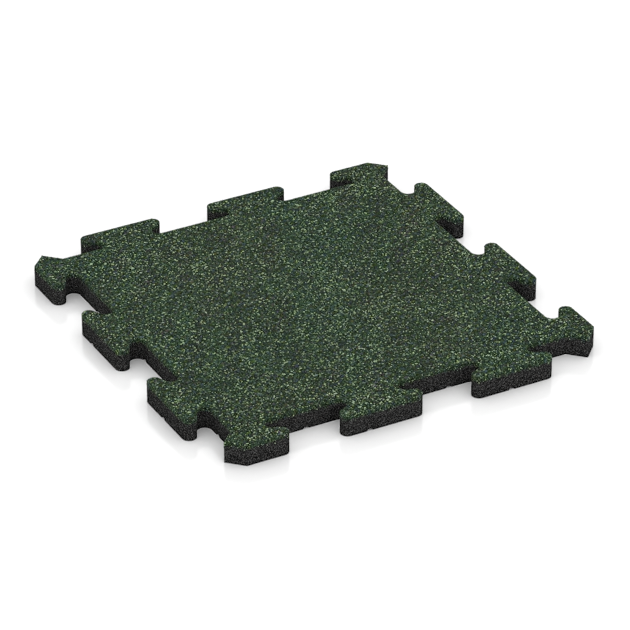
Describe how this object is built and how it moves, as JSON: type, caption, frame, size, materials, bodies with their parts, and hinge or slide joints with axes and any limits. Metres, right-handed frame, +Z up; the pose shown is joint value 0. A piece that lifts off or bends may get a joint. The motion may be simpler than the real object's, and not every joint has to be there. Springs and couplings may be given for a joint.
{
  "type": "interlocking terrace tile",
  "caption": "Square rubber granulate terrace tile with jigsaw edges, a green mix wear layer on a black base and drainage channels underneath.",
  "frame": {"origin": "centre of the tile on its underside, where the two middle drainage channels cross; the underside's pads lie on z = 0", "axes": "+Z is up, out of the walking surface; +X and +Y run along the laid grid, parallel to the joint lines; the four sides are alike, each a quarter turn from the next"},
  "size_m": [0.54, 0.54, 0.029],
  "materials": {
    "green_mix_granulate": "bound coloured rubber granulate, matte, open and grainy",
    "black_granulate": "bound black rubber granulate, matte, grainy"
  },
  "bodies": {
    "root": {"wear_layer": "green_mix_granulate", "base_layer": "black_granulate"}
  },
  "joints": []
}
